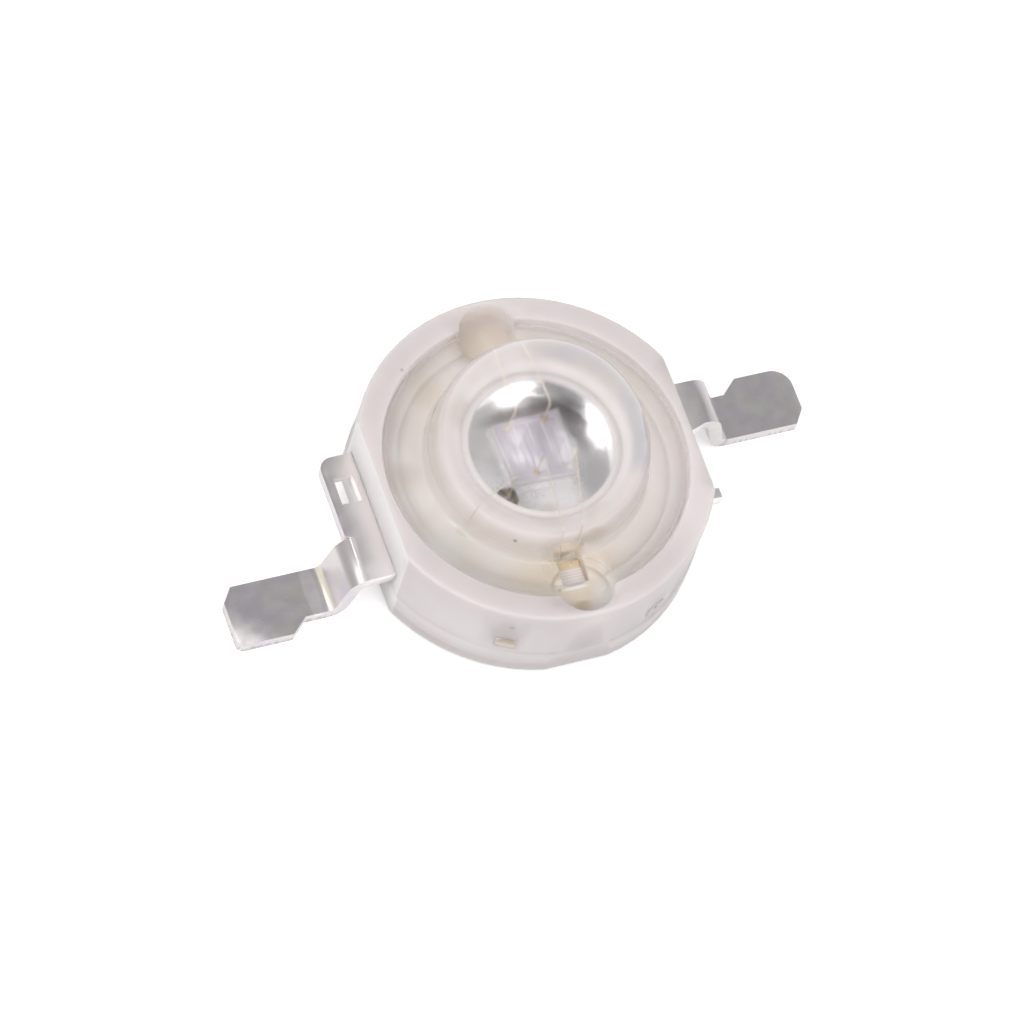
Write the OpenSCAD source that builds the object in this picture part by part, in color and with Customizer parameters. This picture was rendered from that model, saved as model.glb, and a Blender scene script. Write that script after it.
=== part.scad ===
// Surface-mount power LED emitter, in millimetres.
// The origin is on the optical axis, in the plane of the board that the leads and the slug rest on.
// +X runs towards the cathode lead and +Z is the direction of the light.

/* [Housing] */
// Diameter of the moulded ring
body_d = 8.0; // [7.8:0.05:8.4]
// Distance across the two side flats
flat_w = 7.2; // [7.0:0.05:7.4]
// Height of the ring's top face above the board
ring_top = 2.56; // [2.5:0.02:2.7]
// Height of the parting ledge above the board
ledge_z = 0.89; // [0.8:0.01:1.0]
// How far the lower tier stands out at the parting ledge
ledge_out = 0.03; // [0.01:0.01:0.06]
// Distance across the two gate flats of the lower tier
gate_flat_w = 7.92; // [7.8:0.02:8.0]
// Height of the housing's underside above the board
underside_z = 0.18; // [0.1:0.02:0.3]
// Radius of the ring's top outer edge
top_edge_r = 0.08; // [0.04:0.01:0.12]
// Radius of the ring's top inner edge
mouth_edge_r = 0.05; // [0.02:0.01:0.08]
// Diameter of the recess that takes the lens
recess_d = 6.83; // [6.7:0.01:7.0]
// Height of the ledge that the lens flange rests on
seat_z = 2.06; // [2.02:0.01:2.1]
// Width of the ledge that the lens flange rests on
seat_w = 0.38; // [0.3:0.02:0.5]
// Height of the recess floor
floor_z = 1.95; // [1.8:0.01:2.0]
// Height of the collar round the slug
collar_z = 2.72; // [2.6:0.01:2.74]
// Diameter of the collar's flat top
collar_d = 3.4; // [3.2:0.05:3.5]
// Width of the collar's sloping side
collar_slope_w = 0.48; // [0.4:0.01:0.5]
// Radius of each fill port
port_r = 0.68; // [0.6:0.01:0.72]
// Wall between each fill port and the outside
port_wall = 0.12; // [0.08:0.01:0.2]
// Height of each fill port's floor
port_floor_z = 1.84; // [1.7:0.01:1.9]
// Width of the slot that bares each bond finger
slot_w = 0.62; // [0.6:0.02:0.8]
// Distance from the axis to the inner end of each slot
slot_y = 1.80; // [1.76:0.01:1.84]
// Distance from the axis to the outer end of each slot
slot_end_y = 2.94; // [2.9:0.01:2.96]
// Radius of the pocket for the protection die's bond
pocket_r = 0.19; // [0.17:0.01:0.22]
// How far the pocket's middle lies inside that bond
pocket_in = 0.10; // [0.08:0.01:0.11]

/* [Lead frame] */
// Thickness of the sheet that the leads are stamped from
sheet_t = 0.30; // [0.25:0.01:0.35]
// Height of the lead frame's underside inside the housing
frame_z = 1.13; // [1.05:0.01:1.2]
// Distance from the axis to the tip of each lead
lead_tip_x = 7.15; // [7.0:0.05:7.4]
// Start of the upper bend on the anode lead
anode_bend_x = 4.18; // [4.1:0.01:4.4]
// Start of the upper bend on the cathode lead
cathode_bend_x = 4.41; // [4.1:0.01:4.5]
// Inner radius of each bend
bend_r = 0.18; // [0.12:0.01:0.22]
// Steepness of the web between the bends, in degrees
web_angle = 75; // [70:1:85]
// Distance from the centre line to the near edge of each lead
neck_y = 0.41; // [0.35:0.01:0.5]
// Width of each lead's neck
neck_w = 1.09; // [1.0:0.01:1.15]
// Width of each solder pad
pad_w = 1.43; // [1.3:0.01:1.6]
// Distance from the axis to the full width of each solder pad
pad_start_x = 5.88; // [5.7:0.01:6.0]
// Length of the slant from the neck to the solder pad
pad_slant_x = 0.38; // [0.2:0.01:0.4]
// Chamfer at each tip's near corner, along the lead
tip_near_x = 0.25; // [0.1:0.01:0.4]
// Chamfer at each tip's near corner, across the lead
tip_near_y = 0.35; // [0.1:0.01:0.5]
// Chamfer at the anode tip's far corner
anode_tip_far = 0.10; // [0.05:0.01:0.3]
// Radius of the cathode tip's far corner
cathode_tip_far_r = 0.46; // [0.2:0.01:0.5]
// Distance from the axis to the outer edge of the anode lead's wing
wing_x = 4.40; // [4.3:0.01:4.5]
// Distance from the centre line to the far edge of the wing
wing_y = 1.58; // [1.4:0.01:1.65]
// Radius of the wing's outer corner
wing_corner_r = 0.30; // [0.1:0.01:0.4]
// Radius of the inner corner between the wing and the neck
wing_fillet_r = 0.10; // [0.05:0.01:0.2]
// Length of the rectangular hole in the wing
hole_l = 0.69; // [0.5:0.01:0.8]
// Width of the rectangular hole in the wing
hole_w = 0.46; // [0.3:0.01:0.5]
// Distance from the wing's outer edge to the hole
hole_edge = 0.20; // [0.15:0.01:0.24]
// Distance from the centre line to the hole's middle
hole_y = 0.75; // [0.7:0.01:0.85]
// How far the cathode lead widens at the wall
root_flare = 0.20; // [0.1:0.01:0.25]
// Width of each cut tie bar
tie_w = 0.47; // [0.3:0.01:0.5]
// Angle of each tie bar from the bond finger
tie_angle = 26; // [22:1:30]
// How far the cut ends stand proud of the wall
tie_proud = 0.02; // [0.01:0.01:0.05]
// Width of the stub in the right flat
stub_w = 0.25; // [0.2:0.01:0.4]
// Distance from the axis to the stub's cut end
stub_x = 4.15; // [3.9:0.01:4.3]
// Distance from the centre line to the stub's middle
stub_y = 1.32; // [1.2:0.01:1.4]
// Inner radius of the half rings inside the housing
half_ring_in = 2.1; // [2.05:0.01:2.2]
// Outer radius of the half rings inside the housing
half_ring_out = 3.0; // [2.8:0.05:3.2]

/* [Heat slug] */
// Diameter of the slug's base
slug_d = 5.9; // [5.6:0.05:6.2]
// Thickness of the slug's base
slug_h = 0.62; // [0.5:0.01:0.65]
// Diameter of the step above the base
step_d = 4.4; // [4.0:0.05:4.8]
// Height of the step's top above the board
step_z = 0.92; // [0.8:0.01:1.0]
// Diameter of the column that carries the cup
column_d = 2.46; // [2.4:0.01:2.6]
// Height of the reflector cup's rim above the board
rim_z = 2.78; // [2.7:0.01:2.82]
// Diameter of the reflector cup at its rim
rim_d = 2.22; // [2.18:0.01:2.26]
// Diameter of the reflector cup's wall where it meets the floor
cup_floor_d = 2.19; // [2.17:0.01:2.21]
// Radius between the cup's floor and its wall
cup_corner_r = 0.13; // [0.1:0.01:0.14]
// Depth of the reflector cup
cup_depth = 0.51; // [0.45:0.01:0.55]
// Chamfer on the outer edge of the rim
rim_chamfer = 0.05; // [0.03:0.01:0.06]
// Chamfer on the lower edge of the base
base_chamfer = 0.10; // [0.05:0.01:0.14]

/* [Dies] */
// Side of the square chip
chip_w = 0.93; // [0.9:0.01:0.95]
// Thickness of the chip
chip_t = 0.12; // [0.1:0.01:0.14]
// Distance of the chip's middle to the right of the axis
chip_x = 0.12; // [0.1:0.01:0.13]
// Distance of the chip's middle behind the axis
chip_y = 0.24; // [0.22:0.01:0.25]
// Thickness of the bonding layer under each die
attach_t = 0.02; // [0.01:0.005:0.03]
// How far the bonding layer spreads past each die
attach_out = 0.02; // [0.01:0.005:0.03]
// Side of the square protection die
guard_w = 0.24; // [0.2:0.01:0.25]
// Thickness of the protection die
guard_t = 0.14; // [0.1:0.01:0.16]
// Distance of the protection die's middle to the left of the axis
guard_x = 0.56; // [0.54:0.01:0.6]
// Distance of the protection die's middle before the axis
guard_y = 0.43; // [0.42:0.01:0.46]
// Thickness of the contact metal on the chip
metal_t = 0.01; // [0.008:0.001:0.015]
// Diameter of each bond pad on the chip
bond_pad_d = 0.10; // [0.09:0.005:0.11]
// Distance from the chip's edge to the middle of each bond pad
bond_pad_in = 0.08; // [0.07:0.005:0.1]
// Distance between the bond pads of the back contact
p_pad_gap = 0.54; // [0.5:0.01:0.6]
// Distance of the back contact's bond pads to the right of the chip's middle
p_pad_x = -0.02; // [-0.05:0.01:0.05]
// Distance between the bond pads of the front contact
n_pad_gap = 0.50; // [0.4:0.01:0.52]
// Distance of the front contact's bond pads to the right of the chip's middle
n_pad_x = 0.13; // [0.1:0.01:0.14]
// Width of the contact fingers on the chip
finger_w = 0.016; // [0.012:0.001:0.02]
// Distance between neighbouring fingers of one contact
finger_pitch = 0.20; // [0.18:0.01:0.21]
// Length of the contact fingers
finger_l = 0.64; // [0.5:0.01:0.66]

/* [Bond wires] */
// Diameter of the gold wires
wire_d = 0.028; // [0.024:0.001:0.034]
// Diameter of the ball at the start of each wire
ball_d = 0.07; // [0.06:0.005:0.08]
// Thickness of the ball
ball_t = 0.03; // [0.02:0.002:0.04]
// Radius of the wires' bends
wire_bend_r = 0.12; // [0.1:0.01:0.16]
// Height of the wires' highest stretch above the board
loop_z = 3.0; // [2.96:0.01:3.06]
// Distance from the axis at which the wires turn down
loop_turn = 1.72; // [1.7:0.01:1.74]
// Distance from the axis to the bonds on the fingers
stitch_y = 2.35; // [2.3:0.01:2.4]
// Distance between the bonds on the back finger
p_stitch_gap = 0.36; // [0.3:0.01:0.4]
// Distance of the back finger's bonds to the right of the axis
p_stitch_x = 0.03; // [-0.04:0.01:0.05]
// Distance between the bonds on the front finger
n_stitch_gap = 0.34; // [0.3:0.01:0.38]
// Distance of the front finger's bonds to the right of the axis
n_stitch_x = -0.06; // [-0.07:0.01:0.0]
// Distance from the axis to the bond of the protection die's wire
guard_bond_r = 2.38; // [2.34:0.01:2.4]
// Direction of that bond from the axis, in degrees from the cathode lead
guard_bond_angle = 209; // [204:1:216]
// Diameter of the flat bond at the end of each wire
stitch_d = 0.08; // [0.06:0.005:0.1]
// Thickness of the flat bond at the end of each wire
stitch_t = 0.02; // [0.015:0.001:0.03]

/* [Lens and gel] */
// Radius of the dome
dome_r = 2.43; // [2.4:0.01:2.5]
// Height of the dome's centre above the board
dome_z = 2.85; // [2.8:0.01:2.9]
// How far the dome's foot stands out below its centre
foot_out = 0.08; // [0.04:0.01:0.12]
// Radius of the hollow under the dome
hollow_r = 2.20; // [2.17:0.01:2.25]
// Thickness of the lens flange
flange_t = 0.34; // [0.3:0.01:0.4]
// Gap between the flange and the wall of the recess
flange_gap = 0.05; // [0.03:0.01:0.08]
// Radius of the fillet between the dome and the flange
flange_fillet = 0.10; // [0.05:0.01:0.15]
// Chamfer on the flange's top edge
flange_chamfer = 0.06; // [0.03:0.01:0.08]
// Radius of each fill notch in the flange
notch_r = 0.42; // [0.3:0.01:0.5]
// Depth of the gel's surface below the ring's top
gel_drop = 0.12; // [0.08:0.01:0.16]

/* [Hidden] */

$fn = 96;
over = 0.5;
body_r = body_d / 2;
recess_r = recess_d / 2;
port_y = body_r - port_wall - port_r;
void_top = dome_z + dome_r;
seat_in_r = recess_r - seat_w;
collar_foot_r = collar_d / 2 + collar_slope_w;
frame_top = frame_z + sheet_t;
neck_far_y = neck_y + neck_w;
pad_far_y = neck_y + pad_w;
bend_mid_r = bend_r + sheet_t / 2;
bend_steps = 12;
web_rise = frame_z - sheet_t - 2 * bend_r + 2 * bend_mid_r * cos(web_angle);
web_l = web_rise / sin(web_angle);
bend_run = 2 * bend_mid_r * sin(web_angle) + web_l * cos(web_angle);
cup_z = rim_z - cup_depth;
chip_top = cup_z + attach_t + chip_t;
guard_top = cup_z + attach_t + guard_t;
gel_top = ring_top - gel_drop;
flange_top = seat_z + flange_t;
flange_r = recess_r - flange_gap;
foot_r = dome_r + foot_out;
bond_y = chip_w / 2 - bond_pad_in;
chip_place = [chip_x, chip_y];
guard_place = [-guard_x, -guard_y];
bend_d = 0.96 * wire_d;
bend_lap = wire_d / 8;

function pair(middle, gap) = [middle - gap / 2, middle + gap / 2];
p_pads_x = pair(p_pad_x, p_pad_gap);
n_pads_x = pair(n_pad_x, n_pad_gap);
p_stitches_x = pair(p_stitch_x, p_stitch_gap);
n_stitches_x = pair(n_stitch_x, n_stitch_gap);
// Contact fingers of each contact, across the chip from its middle
p_fingers_x = [for (i = [-2:2]) i * finger_pitch];
n_fingers_x = [for (i = [-2:1]) (i + 0.5) * finger_pitch];
guard_bond = [guard_bond_r * cos(guard_bond_angle), guard_bond_r * sin(guard_bond_angle), frame_top];

module at_both_ports() {
    for (turn = [0, 180]) rotate(turn) children();
}

// Upper and lower tiers before anything is cut from them
module housing_blank() {
    lower_r = body_r + ledge_out;
    lower_flat_w = flat_w + 2 * ledge_out;
    intersection() {
        translate([0, 0, ledge_z]) rotate_extrude() difference() {
            square([body_r, ring_top - ledge_z]);
            translate([body_r - top_edge_r, ring_top - ledge_z - top_edge_r]) difference() {
                square(top_edge_r + over);
                circle(top_edge_r);
            }
        }
        translate([-flat_w / 2, -body_d, ledge_z]) cube([flat_w, 2 * body_d, ring_top]);
    }
    intersection() {
        translate([0, 0, underside_z]) cylinder(r = lower_r, h = ledge_z - underside_z);
        translate([-lower_flat_w / 2, -gate_flat_w / 2, underside_z])
            cube([lower_flat_w, gate_flat_w, ledge_z]);
    }
    translate([0, 0, ledge_z]) cylinder(r = collar_foot_r, h = collar_z - ledge_z);
}

// The hollow inside the ring: recess, collar, bond slots and fill ports
module recess_void() {
    rotate_extrude() {
        polygon([
            [0, collar_z], [collar_d / 2, collar_z], [collar_foot_r, floor_z], [seat_in_r, floor_z],
            [seat_in_r, seat_z], [recess_r, seat_z], [recess_r, void_top], [0, void_top]
        ]);
        translate([recess_r, ring_top - mouth_edge_r]) difference() {
            square([mouth_edge_r, mouth_edge_r + over]);
            translate([mouth_edge_r, 0]) circle(mouth_edge_r);
        }
    }
    at_both_ports() {
        translate([0, port_y, port_floor_z]) cylinder(r = port_r, h = ring_top);
        translate([-slot_w / 2, slot_y, frame_top]) cube([slot_w, slot_end_y - slot_y, ring_top]);
    }
    rotate(guard_bond_angle) translate([guard_bond_r - pocket_in, 0, frame_top])
        cylinder(r = pocket_r, h = ring_top - frame_top);
}

module housing() {
    color([0.87, 0.84, 0.83]) difference() {
        housing_blank();
        recess_void();
        slug_outside();
        anode_solid();
        cathode_solid();
        stub_solid();
    }
}

function arc_points(centre, r, from, to) =
    [for (i = [0:bend_steps]) centre + r * [cos(from + (to - from) * i / bend_steps),
                                            sin(from + (to - from) * i / bend_steps)]];

// Side view of a bent lead, from the axis side to its tip and back along its underside
module lead_profile(bend_x) {
    upper = [bend_x, frame_z - bend_r];
    lower = [bend_x + bend_run, sheet_t + bend_r];
    outer_r = bend_r + sheet_t;
    polygon(concat(
        [[0, frame_top]], arc_points(upper, outer_r, 90, 90 - web_angle),
        arc_points(lower, bend_r, 270 - web_angle, 270), [[lead_tip_x, sheet_t], [lead_tip_x, 0]],
        arc_points(lower, outer_r, 270, 270 - web_angle), arc_points(upper, bend_r, 90 - web_angle, 90),
        [[0, frame_z]]
    ));
}

// Plan of a lead outside the housing, before its tip's far corner is cut
module lead_plan() {
    difference() {
        polygon([
            [0, neck_y], [lead_tip_x - tip_near_x, neck_y], [lead_tip_x, neck_y + tip_near_y],
            [lead_tip_x, pad_far_y], [pad_start_x, pad_far_y],
            [pad_start_x - pad_slant_x, neck_far_y], [0, neck_far_y]
        ]);
        square([half_ring_in, body_r]);
    }
}

module bent_lead(bend_x) {
    intersection() {
        translate([0, body_r, 0]) rotate([90, 0, 0]) linear_extrude(2 * body_r) lead_profile(bend_x);
        translate([0, 0, -over]) linear_extrude(ring_top) children();
    }
}

// Half ring inside the housing with its bond finger's tie bars, cut flush with the wall
module half_ring(from, to) {
    tie_l = body_r + tie_proud - half_ring_in;
    translate([0, 0, frame_z]) {
        rotate(from) rotate_extrude(angle = to - from)
            translate([half_ring_in, 0]) square([half_ring_out - half_ring_in, sheet_t]);
        for (side = [-1, 1])
            rotate(90 + side * tie_angle) translate([half_ring_in, -tie_w / 2, 0])
                cube([tie_l, tie_w, sheet_t]);
    }
}

// The anode lead is drawn pointing to +X and turned half round afterwards
module anode_solid() {
    ring_from = -28;
    ring_to = 148;
    corner = [wing_x - wing_corner_r, -wing_y + wing_corner_r];
    rotate(180) {
        bent_lead(anode_bend_x) difference() {
            lead_plan();
            translate([lead_tip_x, pad_far_y]) rotate(45)
                square(anode_tip_far * sqrt(2), center = true);
        }
        translate([0, 0, frame_z]) linear_extrude(sheet_t) difference() {
            union() {
                translate([half_ring_in + sheet_t, -wing_y])
                    square([wing_x - wing_corner_r - half_ring_in - sheet_t, wing_y + neck_y]);
                translate([corner[0], corner[1]]) square([wing_corner_r, neck_y - corner[1]]);
                translate(corner) circle(wing_corner_r);
            }
            translate([wing_x - hole_edge - hole_w, -hole_y - hole_l / 2]) square([hole_w, hole_l]);
            translate([wing_x - wing_fillet_r, neck_y - wing_fillet_r]) difference() {
                square(wing_fillet_r + over);
                circle(wing_fillet_r);
            }
        }
        half_ring(ring_from, ring_to);
    }
}

module cathode_solid() {
    ring_from = 10;
    ring_to = 124;
    wall_x = flat_w / 2;
    far_corner = [lead_tip_x - cathode_tip_far_r, pad_far_y - cathode_tip_far_r];
    bent_lead(cathode_bend_x) difference() {
        union() {
            lead_plan();
            polygon([
                [half_ring_out, neck_y + root_flare], [half_ring_out, neck_y - root_flare],
                [wall_x + root_flare, neck_y - root_flare], [cathode_bend_x, neck_y],
                [cathode_bend_x, neck_y + root_flare]
            ]);
        }
        translate(far_corner) difference() {
            square(cathode_tip_far_r + over);
            circle(cathode_tip_far_r);
        }
    }
    half_ring(ring_from, ring_to);
}

module stub_solid() {
    inner_x = half_ring_out + stub_w;
    translate([inner_x, -stub_y - stub_w / 2, frame_z]) cube([stub_x - inner_x, stub_w, sheet_t]);
}

module anode_lead() {
    color([0.72, 0.71, 0.70]) anode_solid();
}

module cathode_lead() {
    color([0.68, 0.67, 0.67]) cathode_solid();
}

module tie_bar_stub() {
    color([0.45, 0.42, 0.40]) stub_solid();
}

// Outer shape of the slug, with the cup still full
module slug_outside() {
    rotate_extrude() polygon([
        [0, 0], [slug_d / 2 - base_chamfer, 0], [slug_d / 2, base_chamfer], [slug_d / 2, slug_h],
        [step_d / 2, slug_h], [step_d / 2, step_z], [column_d / 2, step_z],
        [column_d / 2, rim_z - rim_chamfer], [column_d / 2 - rim_chamfer, rim_z], [0, rim_z]
    ]);
}

module slug_solid() {
    corner = [cup_floor_d / 2 - cup_corner_r, cup_corner_r];
    difference() {
        slug_outside();
        translate([0, 0, cup_z]) rotate_extrude() polygon(concat(
            [[0, 0]], arc_points(corner, cup_corner_r, 270, 360),
            [[rim_d / 2, cup_depth], [rim_d / 2, cup_depth + over], [0, cup_depth + over]]
        ));
    }
}

module heat_slug() {
    color([0.80, 0.80, 0.80]) slug_solid();
}

module square_on_cup(place, side, from_z, thickness) {
    translate([place[0] - side / 2, place[1] - side / 2, from_z]) cube([side, side, thickness]);
}

module die_attach() {
    color([0.62, 0.61, 0.60]) square_on_cup(chip_place, chip_w + 2 * attach_out, cup_z, attach_t);
}

module led_chip() {
    color([0.78, 0.75, 0.80]) square_on_cup(chip_place, chip_w, cup_z + attach_t, chip_t);
}

module protection_attach() {
    color([0.62, 0.61, 0.60]) square_on_cup(guard_place, guard_w + 2 * attach_out, cup_z, attach_t);
}

module protection_die() {
    color([0.30, 0.24, 0.18]) square_on_cup(guard_place, guard_w, cup_z + attach_t, guard_t);
}

module on_chip() {
    translate([chip_place[0], chip_place[1], chip_top]) linear_extrude(metal_t) children();
}

// One contact: a bar along the chip's edge with two bond pads and a comb of fingers
module comb(pads_x, fingers_x) {
    ends_x = concat(pads_x, fingers_x);
    bar_from = min(ends_x) - finger_w / 2;
    bar_to = max(ends_x) + finger_w / 2;
    translate([bar_from, bond_y - finger_w / 2]) square([bar_to - bar_from, finger_w]);
    for (x = pads_x) translate([x, bond_y]) circle(d = bond_pad_d, $fn = 32);
    for (x = fingers_x) translate([x - finger_w / 2, bond_y - finger_l]) square([finger_w, finger_l]);
}

module p_electrode() {
    color([0.80, 0.66, 0.40]) on_chip() comb(p_pads_x, p_fingers_x);
}

module n_electrode() {
    color([0.80, 0.66, 0.40]) on_chip() rotate(180) comb(-n_pads_x, n_fingers_x);
}

// A bond wire from a ball at one point over the rim and down to a flat bond at another.
// It runs in the upright plane through both points, and its highest stretch is level.
// Each bend is a little thinner than the straights, and its ends lie inside them.
module bond_wire(start, end) {
    run = norm([end[0] - start[0], end[1] - start[1]]);
    heading = atan2(end[1] - start[1], end[0] - start[0]);
    start_r = norm([start[0], start[1]]);
    turn_s = run * (loop_turn - start_r) / (norm([end[0], end[1]]) - start_r);
    arc_z = loop_z - wire_bend_r;
    end_z = end[2] + stitch_t / 2;
    drop = [run - turn_s, end_z - arc_z];
    dip = atan2(drop[0], drop[1]) - acos(wire_bend_r / norm(drop));
    slope_start = [turn_s + wire_bend_r * sin(dip), arc_z + wire_bend_r * cos(dip)];
    slope_l = norm([run - slope_start[0], end_z - slope_start[1]]) + bend_lap;
    translate([start[0], start[1], 0]) rotate(heading) {
        translate([0, 0, start[2]]) cylinder(d = ball_d, h = ball_t, $fn = 32);
        translate([0, 0, start[2] + ball_t / 2]) straight(arc_z + bend_lap - start[2] - ball_t / 2);
        translate([wire_bend_r, 0, arc_z]) wire_arc(90, 180);
        translate([wire_bend_r - bend_lap, 0, loop_z]) rotate([0, 90, 0])
            straight(turn_s - wire_bend_r + 2 * bend_lap);
        translate([turn_s, 0, arc_z]) wire_arc(90 - dip, 90);
        translate([slope_start[0], 0, slope_start[1]]) rotate([0, 90 + dip, 0])
            translate([0, 0, -bend_lap]) straight(slope_l);
        translate([run, 0, end[2]]) cylinder(d = stitch_d, h = stitch_t, $fn = 32);
    }
}

module straight(length) {
    cylinder(d = wire_d, h = length, $fn = 24);
}

// A wire bend in the X-Z plane, between two angles from +X
module wire_arc(from, to) {
    rotate([90, 0, 0]) rotate(from) rotate_extrude(angle = to - from)
        translate([wire_bend_r, 0]) circle(d = bend_d, $fn = 24);
}

function chip_bond(x, side) = [chip_x + x, chip_y + side * bond_y, chip_top + metal_t];
function finger_bond(x, side) = [x, side * stitch_y, frame_top];

module gold() {
    color([0.86, 0.70, 0.36]) children();
}

module wire_p() {
    gold() bond_wire(chip_bond(p_pads_x[1], 1), finger_bond(p_stitches_x[1], 1));
}

module wire_p2() {
    gold() bond_wire(chip_bond(p_pads_x[0], 1), finger_bond(p_stitches_x[0], 1));
}

module wire_n() {
    gold() bond_wire(chip_bond(n_pads_x[0], -1), finger_bond(n_stitches_x[0], -1));
}

module wire_n2() {
    gold() bond_wire(chip_bond(n_pads_x[1], -1), finger_bond(n_stitches_x[1], -1));
}

module wire_protection() {
    gold() bond_wire([guard_place[0], guard_place[1], guard_top], guard_bond);
}

// Dome with its flange, as a turned profile
module lens_outside() {
    rotate_extrude() {
        intersection() {
            translate([0, dome_z]) circle(dome_r);
            translate([0, dome_z]) square([dome_r, dome_r]);
        }
        polygon([[0, seat_z], [foot_r, seat_z], [foot_r, flange_top], [dome_r, dome_z], [0, dome_z]]);
        polygon([
            [0, seat_z], [flange_r, seat_z], [flange_r, flange_top - flange_chamfer],
            [flange_r - flange_chamfer, flange_top], [0, flange_top]
        ]);
        translate([foot_r - flange_fillet / 2, flange_top]) difference() {
            square([1.5 * flange_fillet, flange_fillet]);
            translate([1.5 * flange_fillet, flange_fillet]) circle(flange_fillet);
        }
    }
}

module lens_hollow() {
    intersection() {
        translate([0, 0, seat_z]) sphere(hollow_r);
        translate([0, 0, seat_z]) cylinder(r = hollow_r, h = hollow_r);
    }
}

module lens_solid() {
    difference() {
        lens_outside();
        lens_hollow();
        at_both_ports() translate([0, flange_r, seat_z - over])
            cylinder(r = notch_r, h = flange_t + 2 * over);
    }
}

module lens() {
    color([0.90, 0.90, 0.92], 0.35) lens_solid();
}

// Gel in one fill port: below the flange, outside it and in its fill notch
module port_gel() {
    translate([0, port_y, port_floor_z]) cylinder(r = port_r, h = seat_z - port_floor_z);
    intersection() {
        translate([0, port_y, seat_z]) cylinder(r = port_r, h = gel_top - seat_z);
        difference() {
            translate([-port_r, slot_y, 0]) cube([2 * port_r, body_r, gel_top]);
            difference() {
                cylinder(r = flange_r, h = ring_top);
                translate([0, flange_r, 0]) cylinder(r = notch_r, h = ring_top);
            }
        }
    }
}

// Clear gel: it fills the hollow, the cup, the slots and the ports, round everything that is set in it
module silicone_fill() {
    color([0.88, 0.86, 0.80], 0.4) difference() {
        intersection() {
            recess_void();
            union() {
                cylinder(r = seat_in_r, h = seat_z);
                lens_hollow();
                at_both_ports() port_gel();
            }
        }
        slug_solid();
        die_attach();
        led_chip();
        p_electrode();
        n_electrode();
        protection_attach();
        protection_die();
        wire_p();
        wire_p2();
        wire_n();
        wire_n2();
        wire_protection();
    }
}

housing();
anode_lead();
cathode_lead();
tie_bar_stub();
heat_slug();
die_attach();
led_chip();
p_electrode();
n_electrode();
protection_attach();
protection_die();
wire_p();
wire_p2();
wire_n();
wire_n2();
wire_protection();
silicone_fill();
lens();
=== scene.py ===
"""Looks of a surface-mount power LED emitter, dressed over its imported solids.

Sizes and places are in millimetres and take MM where Blender wants metres. Colours are linear.
"""

import math

import bmesh
import bpy
from mathutils import Matrix, Quaternion, Vector


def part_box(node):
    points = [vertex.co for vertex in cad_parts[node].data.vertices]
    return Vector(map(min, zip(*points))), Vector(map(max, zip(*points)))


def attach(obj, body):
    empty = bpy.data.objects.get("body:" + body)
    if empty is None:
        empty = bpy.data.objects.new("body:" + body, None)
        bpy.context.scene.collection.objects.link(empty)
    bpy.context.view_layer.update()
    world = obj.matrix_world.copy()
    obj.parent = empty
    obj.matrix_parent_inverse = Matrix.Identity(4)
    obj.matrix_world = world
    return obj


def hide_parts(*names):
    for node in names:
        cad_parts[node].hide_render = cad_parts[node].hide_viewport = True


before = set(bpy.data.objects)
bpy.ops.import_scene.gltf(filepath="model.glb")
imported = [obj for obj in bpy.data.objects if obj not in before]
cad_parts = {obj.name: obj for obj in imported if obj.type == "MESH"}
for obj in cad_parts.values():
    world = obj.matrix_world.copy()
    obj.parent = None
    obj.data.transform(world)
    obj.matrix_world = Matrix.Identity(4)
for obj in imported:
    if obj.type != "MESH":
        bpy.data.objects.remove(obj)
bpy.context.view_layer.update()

MM = 0.001
BODY = "root"
EVEN = (1, 1, 1)
WHITE = (1, 1, 1, 1)
NOISE_SPAN = (0.3, 0.7)


def top(node):
    """Height of a CAD node's top in millimetres, rounded to a thousandth."""
    return round(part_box(node)[1].z / MM, 3)


def bottom(node):
    """Height of a CAD node's underside in millimetres, rounded to a thousandth."""
    return round(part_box(node)[0].z / MM, 3)


# Camera: the point that it aims at, its direction from there in degrees, its distance and its lens
CAMERA_AIM = (-1.0006, -1.1811, 2.56)
CAMERA_AZIMUTH = -38.006
CAMERA_ELEVATION = 60.086
CAMERA_ROLL = 21.299
CAMERA_DISTANCE = 138.96
CAMERA_NEAR = 1.0
CAMERA_FAR = 10000.0
CAMERA_LENS = 225.378
SENSOR = 36.0

# Lamps: azimuth and elevation in degrees, then distance and width in metres, and power in watts
LAMPS = {
    "key": (-92, 60, 0.6, 0.32, 1.05),
    "fill": (14, 62, 0.6, 0.32, 1.0),
}

# Cards that metal and glass mirror: azimuth, elevation, distance and width as above, and grey level
CARDS = {
    "overhead_card": (142, 58, 0.5, 0.60, 0.44),
    "side_card": (84, 56, 0.5, 0.30, 0.46),
    "camera_card": (-38, 60, 0.5, 0.38, 0.12),
}
AMBIENT = 0.60
FLOOR_GLOW = 0.41
FLOOR_HALF = 1.5
FLOOR_SPECK = 30.0
FLOOR_COLOURS = ((0.90, 0.90, 0.90, 1), (0.91, 0.91, 0.91, 1))

# Heights of the solids that the optics and the wires meet
SEAT_Z = bottom("lens")
COLLAR_Z = top("housing")
RIM_Z = top("heat_slug")
CUP_Z = bottom("die_attach")
CHIP_TOP = top("led_chip")
CHIP_BOND_Z = top("p_electrode")
GUARD_BOND_Z = top("protection_die")
FRAME_TOP = top("anode_lead")

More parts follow.
